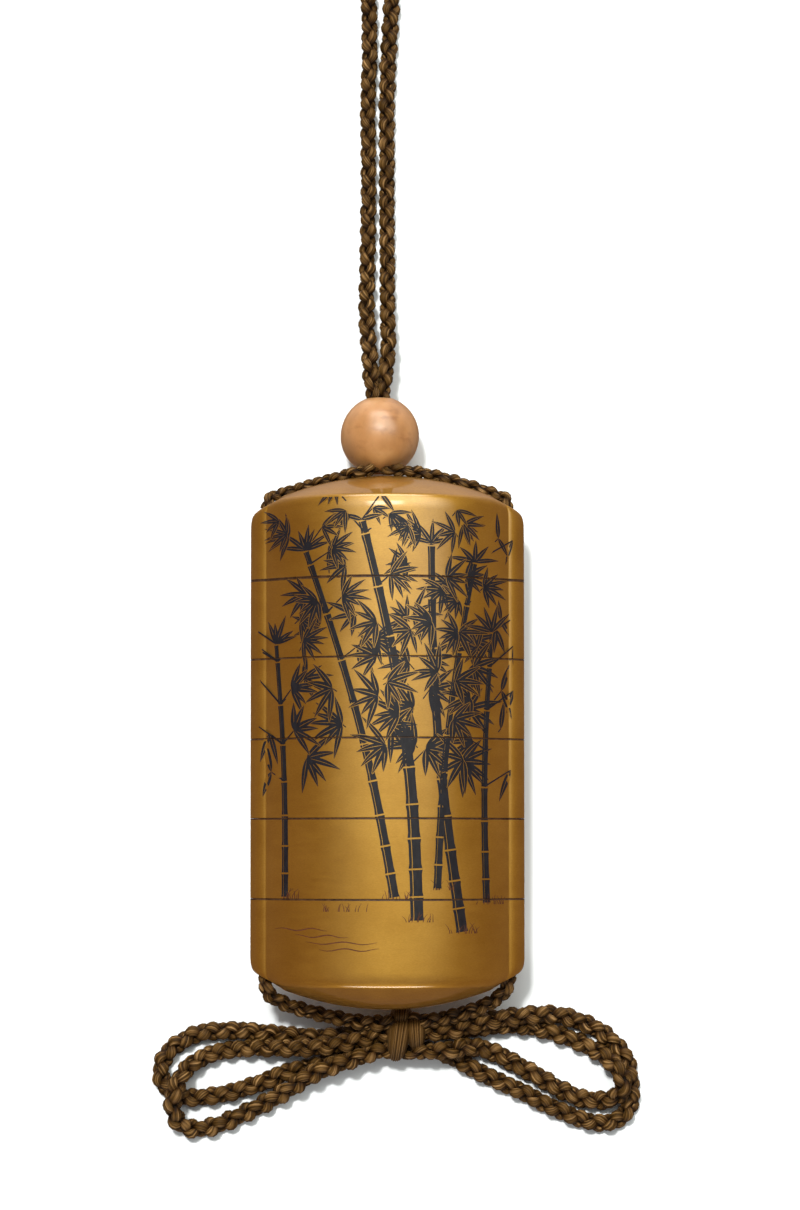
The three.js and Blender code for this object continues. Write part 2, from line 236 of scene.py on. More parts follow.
def new_object(name, vertices, faces, materials, kinds=None, places=None):
    """A piece with smooth faces, from points in millimetres.

    kinds gives each face its place in the list of materials, places each corner of a face its UV.
    """
    mesh = bpy.data.meshes.new(name)
    mesh.from_pydata([Vector(v) * MM for v in vertices], [], faces)
    for material in materials:
        mesh.materials.append(material)
    if kinds:
        mesh.polygons.foreach_set("material_index", kinds)
    mesh.shade_smooth()
    mesh.validate()
    if places:
        layer = mesh.uv_layers.new(name="threads")
        layer.data.foreach_set("uv", [c for place in places for c in place])
    return add_object(name, mesh)


def ring_corners(rows, count, first=0, closed=False):
    """The faces between neighbouring rings of points.

    Each has its row, its place in the ring, two corners on this ring and two back along the next.
    """
    for row in range(rows if closed else rows - 1):
        here, there = first + row * count, first + (row + 1) % rows * count
        for i in range(count):
            j = (i + 1) % count
            yield row, i, here + i, here + j, there + j, there + i


def dressed(obj, slot, *nodes):
    """A finished piece: it rides on the one body and stands for its CAD nodes."""
    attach(obj, "root")
    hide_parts(*nodes)
    return obj


# The seams' rounded edges take dark brown lacquer, which is painted shade along the seams.
OUTSIDE, INSIDE, SEAM_SHADE = 0, 1, 2


class Loft:
    """Closed rings of one size, joined in order from the first pole to the last."""

    def __init__(self):
        self.rings = []
        self.kinds = []
        self.pole_height = None

    def add(self, outline, height, kind):
        """height is a number, or a function of x and z."""
        rise = height if callable(height) else lambda x, z: height
        self.rings.append([(x, rise(x, z), max(z, -AXIS_Z)) for x, z in outline])
        self.kinds.append(kind)

    def mesh(self, name, materials):
        count = len(self.rings[0])
        vertices = [(x, y, z + AXIS_Z) for ring in self.rings for x, y, z in ring]
        faces = []
        kinds = []
        for row, _, *corners in ring_corners(len(self.rings), count):
            faces.append(corners)
            kinds.append(self.kinds[row + 1])
        for row, order in ((0, -1), (len(self.rings) - 1, 1)):
            height = sum(y for _, y, _ in self.rings[row]) / count
            if row == 0 and self.pole_height is not None:
                height = self.pole_height
            pole = len(vertices)
            vertices.append((0, height, AXIS_Z))
            for i in range(count):
                j = (i + 1) % count
                faces.append((row * count + i, row * count + j, pole)[::order])
                kinds.append(self.kinds[row])
        return new_object(name, vertices, faces, materials, kinds)


def add_seam_edge(loft, seam, side, order):
    """The rounded edge between a seam and the wall on its +Y or -Y side, its faces painted dark brown as
    the shade along the seam; order is 1 from wall to seam.
    """
    for step in range(EDGE_STEPS + 1)[::order]:
        a = math.pi / 2 * step / EDGE_STEPS
        inwards = EDGE_ROUND * (1 - math.cos(a))
        loft.add(moved_in(CASE_PLAN, inwards), seam + side * EDGE_ROUND * (1 - math.sin(a)), SEAM_SHADE)


def add_wall(loft, start, end):
    """Rings along the outer wall; the first and last lie near its ends to keep its shading even."""
    way = 1 if end > start else -1
    inner_start, inner_end = start + way * WALL_MARGIN, end - way * WALL_MARGIN
    for step in range(WALL_STEPS + 1):
        loft.add(CASE_PLAN, inner_start + (inner_end - inner_start) * step / WALL_STEPS, OUTSIDE)


def add_dome(loft, side=1):
    """The domed end on +Y or -Y, from its pole to just past its rounded rim."""
    loft.pole_height = side * (RIM_Y + CROWN)
    for share in DOME_SHARES:
        outline = [(x * share, z * share) for x, z in CASE_PLAN]
        loft.add(outline, lambda x, z: side * (RIM_Y + end_height(x, z)), OUTSIDE)
    inner = []
    for x, z in CASE_PLAN:
        share = 1 - RIM_ROUND / max(math.hypot(x, z), RIM_ROUND)
        inner.append((x * share, RIM_Y + end_height(x * share, z * share), z * share))
    for step in range(RIM_STEPS + 1):
        ring = []
        for (x, z), start in zip(CASE_PLAN, inner):
            rim = RIM_Y + rim_height(x)
            px, py, pz = turned(step / RIM_STEPS, start, (x, rim, z), (x, rim - RIM_RUN, z))
            ring.append((px, side * py, max(pz, -AXIS_Z)))
        loft.rings.append(ring)
        loft.kinds.append(OUTSIDE)
    loft.add(CASE_PLAN, lambda x, z: side * (RIM_Y + rim_height(x) - RIM_RUN - WALL_MARGIN), OUTSIDE)


def cut_channels(obj):
    """Bores the two cord channels right through a piece."""
    cutter_mesh = bpy.data.meshes.new("channel_cutter")
    shape = bmesh.new()
    for side in (-1, 1):
        made = bmesh.ops.create_cone(
            shape, cap_ends=True, segments=CHANNEL["sides"], depth=4 * RIM_Y * MM,
            radius1=CHANNEL["radius"] * MM, radius2=CHANNEL["radius"] * MM,
        )["verts"]
        for vertex in made:
            x, y, z = vertex.co
            vertex.co = (x + side * CHANNEL["x"] * MM, z, -y + AXIS_Z * MM)
    for face in shape.faces:
        face.material_index = INSIDE
    shape.to_mesh(cutter_mesh)
    shape.free()
    for material in obj.data.materials:
        cutter_mesh.materials.append(material)
    cutter = add_object("channel_cutter", cutter_mesh)
    cut = obj.modifiers.new("channels", "BOOLEAN")
    cut.object = cutter
    cut.solver = "EXACT"
    view = bpy.context.evaluated_depsgraph_get()
    finished = bpy.data.meshes.new_from_object(obj.evaluated_get(view))
    obj.modifiers.clear()
    obj.data = finished
    bpy.data.objects.remove(cutter)
    bpy.data.meshes.remove(cutter_mesh)


def make_lid(materials):
    """The domed lid, hollow, with the recess that takes the first tray's riser."""
    low = SEAM_Y[0] + SEAM_SHUT / 2
    loft = Loft()
    add_dome(loft)
    add_wall(loft, WALL_TOP, low + EDGE_ROUND)
    add_seam_edge(loft, low, 1, 1)
    loft.add(SKIRT_PLAN, low, INSIDE)
    loft.add(SKIRT_PLAN, low + SKIRT["depth"], INSIDE)
    loft.add(TRAY_PLAN, low + SKIRT["depth"], INSIDE)
    loft.add(TRAY_PLAN, RIM_Y - END_WALL, INSIDE)
    return loft.mesh("lid_finished", materials)


def make_tray(index, materials):
    """A tray with its riser; the last one has a domed end in place of a recess."""
    last = index == len(SEAM_Y) - 1
    high = SEAM_Y[index] - SEAM_SHUT / 2
    low = -RIM_Y if last else SEAM_Y[index + 1] + SEAM_SHUT / 2
    floor_top = -RIM_Y + END_WALL if last else low + SKIRT["depth"] + FLOOR
    loft = Loft()
    if last:
        add_dome(loft, -1)
        add_wall(loft, -WALL_TOP, high - EDGE_ROUND)
    else:
        loft.add(SKIRT_PLAN, low + SKIRT["depth"], INSIDE)
        loft.add(SKIRT_PLAN, low, INSIDE)
        add_seam_edge(loft, low, 1, -1)
        add_wall(loft, low + EDGE_ROUND, high - EDGE_ROUND)
    add_seam_edge(loft, high, -1, 1)
    loft.add(RISER_PLAN, high, INSIDE)
    loft.add(RISER_PLAN, high + RISER["height"], INSIDE)
    loft.add(TRAY_PLAN, high + RISER["height"], INSIDE)
    loft.add(TRAY_PLAN, floor_top, INSIDE)
    return loft.mesh(TRAY_NAMES[index] + "_finished", materials)


def face_outwards(obj):
    """Turns every face of a closed piece to its outside."""
    shape = bmesh.new()
    shape.from_mesh(obj.data)
    bmesh.ops.recalc_face_normals(shape, faces=shape.faces)
    shape.to_mesh(obj.data)
    shape.free()


# ---- routes of the cord

HOLE = {"x": CHANNEL["x"], "y": 41.2}
FLOOR_Z = 1.6
SPLINE_STEPS = 24

# Points along the middle of the cord. One without a height lies at FLOOR_Z.

CROWN_LEFT = [
    (-HOLE["x"], HOLE["y"], AXIS_Z), (-21.1, 42, 10.9), (-20.7, 43, 10.1), (-19.8, 43.6, 8.9),
    (-18.5, 44.15, 7.8), (-16.8, 44.7, 7.1), (-14.1, 45.6, 6.9), (-11.3, 46.35, 7.2), (-8.2, 47, 8.6),
    (-5.9, 47.5, 10.2), (-3.7, 47.8, 11.3),
]
CROWN_RIGHT = [
    (HOLE["x"], HOLE["y"], AXIS_Z), (21.1, 42, 10.9), (20.7, 43, 10.1), (19.8, 43.6, 8.9),
    (18.5, 44.15, 7.9), (16.8, 44.8, 7.5), (14.1, 45.7, 7.7), (11.2, 46.5, 8.2), (8.2, 47.2, 9.2),
    (5.2, 47.6, 10.4), (3, 47.8, 11), (1.1, 47.85, 11.4),
]
BEAD_PASS_LEFT = [
    (-2.7, 48.1, 10.2), (-2.35, 49, 8.7), (-2.3, 51, 7.9), (-2.3, 54.5, 7.7), (-2.4, 58, 7.8),
]
BEAD_PASS_RIGHT = [
    (0, 48.1, 10.2), (-0.3, 49, 8.2), (-0.4, 51, 6.6), (-0.4, 54.5, 6.3), (-0.4, 58, 6.4),
]
LEG_LEFT = [
    (-2.6, 61.4, 8.2), (-2.9, 64.3, 7.9), (-3.2, 69.7, 6), (-3.6, 74, 4.2), (-3.7, 79, 2.6),
    (-3.6, 85, 1.7), (-3.4, 97), (-3.4, 106), (-3.5, 115), (-3.2, 124), (-3.3, 132.7), (-3.5, 145),
    (-4.2, 160),
]
LEG_RIGHT = [
    (-0.6, 61.4, 6.4), (-0.5, 64.3, 6.1), (0.1, 69.7, 5.2), (0.1, 74, 3.8), (0, 79, 2.6), (0, 85, 1.7),
    (-0.1, 97), (-0.1, 106), (-0.1, 115), (0.2, 124), (0.7, 132.7), (0.9, 145), (1.4, 160),
]
BIGHT = [
    (-5.3, 168), (-6.8, 176), (-7.6, 183), (-7.7, 188), (-5.9, 192.4), (-1.5, 194.2), (2.9, 192.4),
    (4.7, 188), (4.6, 183), (3.9, 176), (2.5, 168),
]
RUNNER_LEFT = [
    (-HOLE["x"], -HOLE["y"], AXIS_Z), (-21.3, -42.6, 11), (-20.8, -44, 10.2), (-19.2, -45.3, 8.7),
    (-16.9, -46.4, 7), (-13.3, -47.5, 5.9), (-10, -48.3, 5.5), (-6.5, -49, 5.4), (-3, -49.4, 5.7),
    (-0.6, -49.4, 6),
]
RUNNER_RIGHT = [
    (HOLE["x"], -HOLE["y"], AXIS_Z), (21.1, -42.4, 10.9), (20.4, -43.8, 10), (18.9, -45.2, 8.3),
    (16.4, -46.6, 6.8), (13.2, -47.7, 6.4), (10.2, -48.5, 6.2), (7.2, -49, 5.9),
]
LOOP_UPPER_LEFT = [
    (-0.6, -50.5), (-3.9, -51.2), (-8.2, -51.8), (-11, -52.2), (-13.5, -52.2), (-16, -52), (-20.8, -51.5),
    (-26.2, -51), (-32.2, -51.2), (-35.4, -52.2), (-38.3, -54.1), (-39.9, -56.4), (-40.3, -58.7),
    (-39.3, -61.1), (-37, -62.5), (-33.4, -62.8), (-29.3, -62.2), (-25.7, -61.3), (-22.5, -60.2),
    (-19.3, -58.9), (-16.1, -57.9), (-13.1, -57.3), (-10.1, -56.5), (-7.4, -55.6), (-4.9, -54.8),
    (-2.5, -54.2), (-0.6, -54),
]
LOOP_LOWER_LEFT = [
    (-0.6, -51.4, 4.3), (-3.1, -51.9, 4.4), (-5.7, -52.6, 4.5), (-9.1, -53.3, 4.4), (-12.5, -53.8, 4.1),
    (-16.1, -54, 3.7), (-20, -54, 3.1), (-23.6, -54, 2.4), (-26.5, -54.2, 1.8), (-31, -55, 1.8),
    (-34.2, -56.5, 2.5), (-35.9, -58.1, 3.5), (-37, -59.9, 4.7), (-37.7, -62.1, 5.2), (-37.9, -64.3, 4.7),
    (-37.5, -66.4, 3.2), (-36.1, -67.9, 2), (-33.5, -68.4), (-30.5, -67.8), (-27.4, -66.6), (-24.1, -65),
    (-21.3, -63.6, 1.8), (-18.8, -62.1, 2.5), (-16.4, -60.5, 3.5), (-13.4, -58.6, 4.2),
    (-10.2, -57.2, 4.5), (-7.2, -56.2, 4.7), (-4.5, -55.2, 4.8), (-2.5, -54.6, 4.8), (-0.6, -54.3, 4.8),
]
LOOP_OUTER_RIGHT = [
    (7.2, -51.2, 4.6), (9.3, -51, 4.6), (12.5, -50.5, 4.6), (16.1, -49.5, 4.6), (19.6, -48.7, 4.5),
    (23.6, -48.3, 4.1), (27.6, -48, 3), (30.8, -48.3, 2), (33.6, -49.1), (36.4, -50.3), (38.9, -51.9),
    (40.7, -53.6), (42.1, -55.5), (42.9, -57.8), (43.2, -60.4), (43.3, -62.9), (42.6, -65.1),
    (41.1, -66.6), (38.6, -67.3), (36, -67.1), (33.4, -66.3), (30.8, -65.2), (27.9, -63.9), (22.9, -61.3),
    (18.1, -59.2), (13.3, -56.6), (11, -55.4), (9, -54.6), (7.2, -54.3),
]
LOOP_INNER_RIGHT = [
    (7.2, -51.1), (12.5, -51), (16.1, -50.5), (19.7, -50.1), (23.6, -50.1), (27, -50.7), (30.4, -51.6),
    (33.3, -52.7), (36.1, -54, 1.7), (38.4, -55.3, 2.4), (40.1, -56.9, 3.4), (41.3, -58.4, 4.1),
    (41.7, -60.2, 4.3), (41.1, -62, 3.7), (39.4, -63.1, 2.4), (37, -63.3, 1.7), (34.9, -63.1),
    (32.9, -62.4), (29.9, -60.9), (27, -59.2), (22.9, -56.9), (18.1, -54.5, 1.7), (15.8, -53.9, 2.4),
    (13.3, -53.8, 3.9), (10.5, -54.3, 4.8), (7.2, -54.5, 4.9),
]
UPPER_ROUTE = (
    CROWN_LEFT + BEAD_PASS_LEFT + LEG_LEFT + BIGHT
    + LEG_RIGHT[::-1] + BEAD_PASS_RIGHT[::-1] + CROWN_RIGHT[::-1]
)
BOW_LEFT_ROUTE = (
    RUNNER_LEFT + [(2.4, -48.8, 4.4), (3.2, -49.7, 3), (2.2, -50.8, 1.8)]
    + LOOP_UPPER_LEFT + [(2.2, -54.3, 1.8), (3.2, -54.6, 3.1), (2.2, -54.6, 4.5)]
    + LOOP_LOWER_LEFT[::-1] + [(2.4, -51, 4.6)]
)
BOW_RIGHT_ROUTE = (
    RUNNER_RIGHT + [(4.6, -48.9, 5.3), (3.7, -49.7, 4.9), (4.6, -50.9, 4.7)]
    + LOOP_OUTER_RIGHT + [(4.8, -54.4, 1.8), (4, -54.6, 3.2), (4.8, -54.6, 4.7)]
    + LOOP_INNER_RIGHT[::-1] + [(4.6, -51.1, 1.7)]
)


def smooth_line(points, spacing):
    """Evenly spaced points on the centripetal spline through the given points, and its length."""
    points = [Vector(p if len(p) == 3 else (*p, FLOOR_Z)) for p in points]
    points = [2 * points[0] - points[1]] + points + [2 * points[-1] - points[-2]]
    dense = []
    for p0, p1, p2, p3 in zip(points, points[1:], points[2:], points[3:]):
        t0, t1, t2 = (math.sqrt((b - a).length) for a, b in ((p0, p1), (p1, p2), (p2, p3)))
        out = ((p1 - p0) / t0 - (p2 - p0) / (t0 + t1) + (p2 - p1) / t1) * t1
        into = ((p2 - p1) / t1 - (p3 - p1) / (t1 + t2) + (p3 - p2) / t2) * t1
        dense += interpolate_bezier(p1, p1 + out / 3, p2 - into / 3, p2, SPLINE_STEPS)[:-1]
    dense.append(points[-2])
    length = reach_along(dense)[-1]
    count = max(2, round(length / spacing))
    return [Vector(p) for p in spread(dense, [step / count for step in range(count + 1)])], length


# ---- braided cord

BRAID = {
    "pitch": 7, "radius": 0.53, "weave": 0.4, "wide": 0.82, "deep": 0.7, "shrink": 0.22, "linger": 0.65,
    "steps": 18, "sides": 20, "thread": 0.05, "twist": 16,
}
WANDER = {"strand": 0.12, "strand_over": 17, "cord": 0.25, "cord_over": 31}
PLUMP = {"change": 0.04, "per_mm": 1.9, "per_strand": 2.1}
STRANDS = ((0, 1), (math.pi, 1), (0, -1), (math.pi, -1))
UV_STEP = 40
PATH_EVERY = 6
CHANNEL_SIZE = 0.88
CROWN_SIZE, STRAND_SIZE = 0.78, 1.05
RUNNER_SIZE, LOOP_SIZE = 0.95, 1.18
STRAND_FROM = {"y": 60, "over": 6}
LOOP_FROM = {"along": 20, "over": 8}
PINCH = {"x": 3.5, "from": 2, "over": 6}


def braid_strand(line, length, size_at, turn, way, number):
    """One of the four strands: rings of points round its own winding middle.

    It lingers where it lies on top and crosses quickly where it dives under the others,
    so the tops line up in rows of ovals along the cord.
    """
    last = len(line) - 1
    up = Vector((0, 0, 1))
    middles = []
    outs = []
    for i, point in enumerate(line):
        along = length * i / last
        tangent = (line[min(last, i + 1)] - line[max(0, i - 1)]).normalized()
        side = tangent.cross(up).normalized()
        rise = side.cross(tangent)
        wander = WANDER["strand"] * math.sin(along / WANDER["strand_over"] + number)
        wander += WANDER["cord"] * math.sin(along / WANDER["cord_over"])
        angle = way * (2 * math.pi * along / BRAID["pitch"] + turn)
        weave = way * math.cos(2 * angle)
        shown = angle - way * BRAID["linger"] / 2 * math.sin(2 * angle) + math.pi / 4 + wander
        out = math.cos(shown) * rise + math.sin(shown) * side
        size = size_at(point, along)
        middles.append(point + out * (BRAID["radius"] + BRAID["weave"] * weave) * size)
        outs.append((out, weave, along, size))
    rings = []
    for i, (out, weave, along, size) in enumerate(outs):
        direction = (middles[min(last, i + 1)] - middles[max(0, i - 1)]).normalized()
        flat = direction.cross(out).normalized()
        thick = flat.cross(direction)
        plump = 1 - BRAID["shrink"] * (1 - weave)
        plump += PLUMP["change"] * math.sin(along * PLUMP["per_mm"] + PLUMP["per_strand"] * number)
        ring = []
        for side_number in range(BRAID["sides"]):
            a = 2 * math.pi * (side_number / BRAID["sides"] + along / BRAID["twist"])
            reach = plump * size * (1 + BRAID["thread"] * (1 if side_number % 2 else -1))
            ring.append(
                middles[i]
                + flat * (BRAID["wide"] * reach * math.cos(a))
                + thick * (BRAID["deep"] * reach * math.sin(a))
            )
        rings.append(ring)
    return rings


def braid_object(name, route, size_at, material):
    """A round braid of four strands along a route, flattened where it rests on the floor.

    Its UVs count pitches along and turns around a strand. With it come its path and length in metres.
    """
    line, length = smooth_line(route, BRAID["pitch"] / BRAID["steps"])
    sides = BRAID["sides"]
    vertices = []
    faces = []
    places = []
    for number, (turn, way) in enumerate(STRANDS):
        rings = braid_strand(line, length, size_at, turn, way, number)
        first = len(vertices)
        start = UV_STEP * number + (0 if way == 1 else 0.25)
        for ring in rings:
            vertices += [Vector((p.x, p.y, max(p.z, 0))) for p in ring]
        for row, i, a, b, c, d in ring_corners(len(rings), sides, first):
            faces.append((a, d, c, b))
            u0, u1 = start + row / BRAID["steps"], start + (row + 1) / BRAID["steps"]
            v0, v1 = i / sides, (i + 1) / sides
            places += [(u0, v0), (u1, v0), (u1, v1), (u0, v1)]
        for row, order in ((0, 1), (len(rings) - 1, -1)):
            faces.append(tuple(first + row * sides + i for i in range(sides))[::order])
            places += [(start + row / BRAID["steps"], i / sides) for i in range(sides)]
    obj = new_object(name, vertices, faces, [material], places=places)
    return obj, [p * MM for p in line[::PATH_EVERY] + [line[-1]]], length * MM


# ---- materials

SHADER = "Principled BSDF"


class Nodes:
    """Short names for building the nodes of a material, a light or the world."""

    def __init__(self, owner):
        owner.use_nodes = True
        self.owner = owner
        self.tree = owner.node_tree

    def plug(self, socket, value):
        """Links an output to a socket, or sets the socket's own value."""
        if isinstance(value, bpy.types.NodeSocket):
            self.tree.links.new(value, socket)
        else:
            socket.default_value = value

    def node(self, kind, inputs=None, **settings):
        made = self.tree.nodes.new(kind)
        for key, value in settings.items():
            setattr(made, key, value)
        for key, value in (inputs or {}).items():
            self.plug(made.inputs[key], value)
        return made

    def set(self, name, **values):
        """Inputs of a node that is there from the start. An underscore stands for a space."""
        for key, value in values.items():
            self.plug(self.tree.nodes[name].inputs[key.replace("_", " ")], value)

    def place(self, scale=(1, 1, 1), kind="Object"):
        where = self.node("ShaderNodeTexCoord").outputs[kind]
        return self.node("ShaderNodeMapping", {"Vector": where, "Scale": scale}).outputs["Vector"]

    def noise(self, vector, scale, detail, roughness):
        inputs = {"Vector": vector, "Scale": scale, "Detail": detail, "Roughness": roughness}
        return self.node("ShaderNodeTexNoise", inputs).outputs["Fac"]

    def ramp(self, value, *stops):
        """A colour for each value; a stop is its place and its linear red, green and blue."""
        made = self.node("ShaderNodeValToRGB", {"Fac": value})
        ramp = made.color_ramp
        while len(ramp.elements) < len(stops):
            ramp.elements.new(0.5)
        for element, (at, *colour) in zip(ramp.elements, stops):
            element.position = at
            element.color = (*colour, 1)
        return made.outputs["Color"]

    def spread(self, value, low, high, start=0.3, end=0.7):
        inputs = {"Value": value, "From Min": start, "From Max": end, "To Min": low, "To Max": high}
        return self.node("ShaderNodeMapRange", inputs).outputs["Result"]

    def mix(self, kind, factor, a, b):
        made = self.node("ShaderNodeMix", data_type="RGBA", blend_type=kind)
        for index, value in ((0, factor), (6, a), (7, b)):
            self.plug(made.inputs[index], value)
        return made.outputs[2]

    def product(self, a, b):
        return self.node("ShaderNodeMath", {0: a, 1: b}, operation="MULTIPLY").outputs[0]

    def bump(self, height, strength, distance, before=None):
        inputs = {"Height": height, "Strength": strength, "Distance": distance}
        if before:
            inputs["Normal"] = before
        return self.node("ShaderNodeBump", inputs).outputs["Normal"]


def gold_lacquer():
    """Gold powder under clear lacquer, with the faint level marks of its polishing."""
    n = Nodes(bpy.data.materials.new("gold_lacquer"))
    cloud = n.noise(n.place(), 90, detail=5, roughness=0.6)
    grain = n.noise(n.place((1, 3.2, 1)), 2600, detail=2, roughness=0.6)
    wipe = n.noise(n.place((0.12, 1, 0.12)), 1500, detail=3, roughness=0.6)
    colour = n.ramp(cloud, (0.3, 0.49, 0.275, 0.037), (0.7, 0.61, 0.365, 0.062))
    grit = n.ramp(grain, (0.3, 0.55, 0.5, 0.42), (0.75, 1, 1, 1))
    n.set(
        SHADER, Base_Color=n.mix("MULTIPLY", 0.35, colour, grit), Metallic=0.95,
        Roughness=n.spread(wipe, 0.43, 0.53),
        Normal=n.bump(grain, 0.12, 0.00002, n.bump(wipe, 0.28, 0.00003)),
        Coat_Weight=1.0, Coat_Roughness=0.05, Coat_IOR=1.8,
    )
    return n.owner


def inner_lacquer():
    """Flakes of gold scattered in red-brown lacquer."""
    n = Nodes(bpy.data.materials.new("flake_lacquer"))
    cells = n.node("ShaderNodeTexVoronoi", {"Vector": n.place(), "Scale": 2600}).outputs["Color"]
    flake = n.node("ShaderNodeSeparateColor", {"Color": cells}).outputs["Red"]
    n.set(
        SHADER, Base_Color=n.ramp(flake, (0.55, 0.055, 0.017, 0.007), (0.62, 0.5, 0.26, 0.06)),
        Metallic=n.spread(flake, 0, 0.8, start=0.55, end=0.62), Roughness=0.3,
        Coat_Weight=0.8, Coat_Roughness=0.08,
    )
    return n.owner


def silk_cord():
    """Dull brown silk with ochre threads and paler worn patches, and painted shade that turns it near
    black between the strands and leaves its own colour where they lie on top.
    """
    n = Nodes(bpy.data.materials.new("silk_cord"))
    split = n.node("ShaderNodeSeparateXYZ", {"Vector": n.place(kind="UV")})
    turns = n.product(split.outputs["X"], 4 * math.pi)
    crest = n.node("ShaderNodeMath", {0: turns}, operation="COSINE").outputs[0]
    threads = n.noise(n.place((0.8, 13, 1), "UV"), 1, detail=3, roughness=0.7)
    fine = n.noise(n.place((2.2, 70, 1), "UV"), 1, detail=2, roughness=0.6)
    patches = n.noise(n.place(), 150, detail=3, roughness=0.6)
    colour = n.ramp(
        threads, (0.34, 0.012, 0.005, 0.001), (0.47, 0.054, 0.026, 0.004),
        (0.56, 0.122, 0.063, 0.018), (0.7, 0.37, 0.22, 0.09),
    )
    # Painted shade: darkest where a strand dives under the others, none where it lies on top.
    on_top = n.spread(crest, 0, 1, start=-0.9, end=1)
    depth = n.ramp(on_top, (0, 0.025, 0.013, 0.006), (0.5, 0.27, 0.21, 0.15), (1, 1, 1, 1))
    colour = n.mix("MULTIPLY", 1.0, colour, depth)
    wear = n.ramp(patches, (0.3, 0.6, 0.56, 0.52), (0.7, 1, 1, 1))
    n.set(
        SHADER, Base_Color=n.mix("MULTIPLY", 0.5, colour, wear), Roughness=0.55,
        Normal=n.bump(fine, 0.5, 0.00006, n.bump(threads, 0.75, 0.00012)), Specular_IOR_Level=0.16,
        Sheen_Weight=0.03, Sheen_Roughness=0.35, Sheen_Tint=(0.75, 0.55, 0.33, 1),
    )
    return n.owner


def bead_stone():
    """A polished warm stone with cloudy veins."""
    n = Nodes(bpy.data.materials.new("bead_stone"))
    cloud = n.noise(n.place((1, 0.7, 1)), 170, detail=6, roughness=0.6)
    veins = n.noise(n.place((1, 1.5, 1)), 420, detail=4, roughness=0.55)
    colour = n.ramp(
        cloud, (0.3, 0.27, 0.12, 0.036), (0.5, 0.38, 0.18, 0.062), (0.72, 0.46, 0.24, 0.1),
    )
    colour = n.mix("MULTIPLY", 0.5, colour, n.ramp(veins, (0.32, 0.62, 0.5, 0.36), (0.45, 1, 1, 1)))
    n.set(
        SHADER, Base_Color=colour, Roughness=0.45, Subsurface_Weight=0.08, Subsurface_Scale=0.0015,
        Subsurface_Radius=(1, 0.45, 0.25), Coat_Weight=1.0, Coat_Roughness=0.3, Coat_IOR=1.8,
        Normal=n.bump(veins, 0.05, 0.0001),
    )
    return n.owner


def ink_lacquer(name, dark, pale):
    """Lacquer paint with a little unevenness from the brush, under a thin clear coat."""
    n = Nodes(bpy.data.materials.new(name))
    brush = n.noise(n.place((1, 0.4, 1)), 1400, detail=4, roughness=0.6)
    n.set(
        SHADER, Base_Color=n.ramp(brush, (0.35, *dark), (0.7, *pale)), Roughness=0.5,
        Specular_IOR_Level=0.3, Normal=n.bump(brush, 0.2, 0.00003), Coat_Weight=0.25, Coat_Roughness=0.2,
    )
    return n.owner


# ---- painting on the front

PAINT = {
    "lift": 0.02, "layer": 0.009, "layers": 6, "sunk": 0.1, "seam": 0.1, "left": -22.6, "right": 22,
    "top": 40.6,
}
CULMS = (
    {"foot": (-17.8, -27), "top": (-19.4, 17), "bend": 0.6, "width": 1.1},
    {"foot": (17.2, -28), "top": (18.2, 19), "bend": -0.8, "width": 1.2},
    {"foot": (8.6, -25.5), "top": (15.2, 31), "bend": -1.3, "width": 1.3},
    {"foot": (1.2, -27), "top": (-14.2, 33), "bend": 1.6, "width": 1.6},
    {"foot": (12.9, -33), "top": (7.6, 34), "bend": -1.5, "width": 1.9},
    {"foot": (5.1, -31), "top": (-4.4, 38), "bend": 2.4, "width": 2.2},
)
JOINT = {"first": 4.2, "growth": 0.55, "gap": 0.3, "flare": 1.14, "steps": 6, "thins": 0.45}
SHINE = {"from": 0.42, "to": 0.54}
TWIG = {"from": 0.36, "threes": 0.6, "turn": (0.6, 1.05), "reach": (2.5, 8), "halves": (0.16, 0.09)}
SPRAY = {"leaves": (5, 7), "fan": 2.5, "stray": 0.12, "droop": (0.4, 1.3), "top": 0.7}
LEAF = {
    "length": 6.8, "width": 1.3, "longer": (0.75, 1.1), "wider": (0.85, 1.1), "split": 0.08,
    "ring": 0.09, "steps": 9, "droop": 0.3, "least": 0.03, "belly": 0.72, "blunt": 0.85,
}
GRASS = {"lean": 0.7, "tall": (0.6, 1.9), "halves": (0.07, 0.06, 0.045, 0.02)}
RIPPLE = {
    "long": (8, 13), "stray": 0.8, "over": 2.6, "down": 1.15, "wave": 0.22, "often": 0.8,
    "ends": 0.02, "swell": 0.08, "steps": 14,
}
PAINT_SEED = 11
INK, GOLD, BROWN = 0, 1, 2


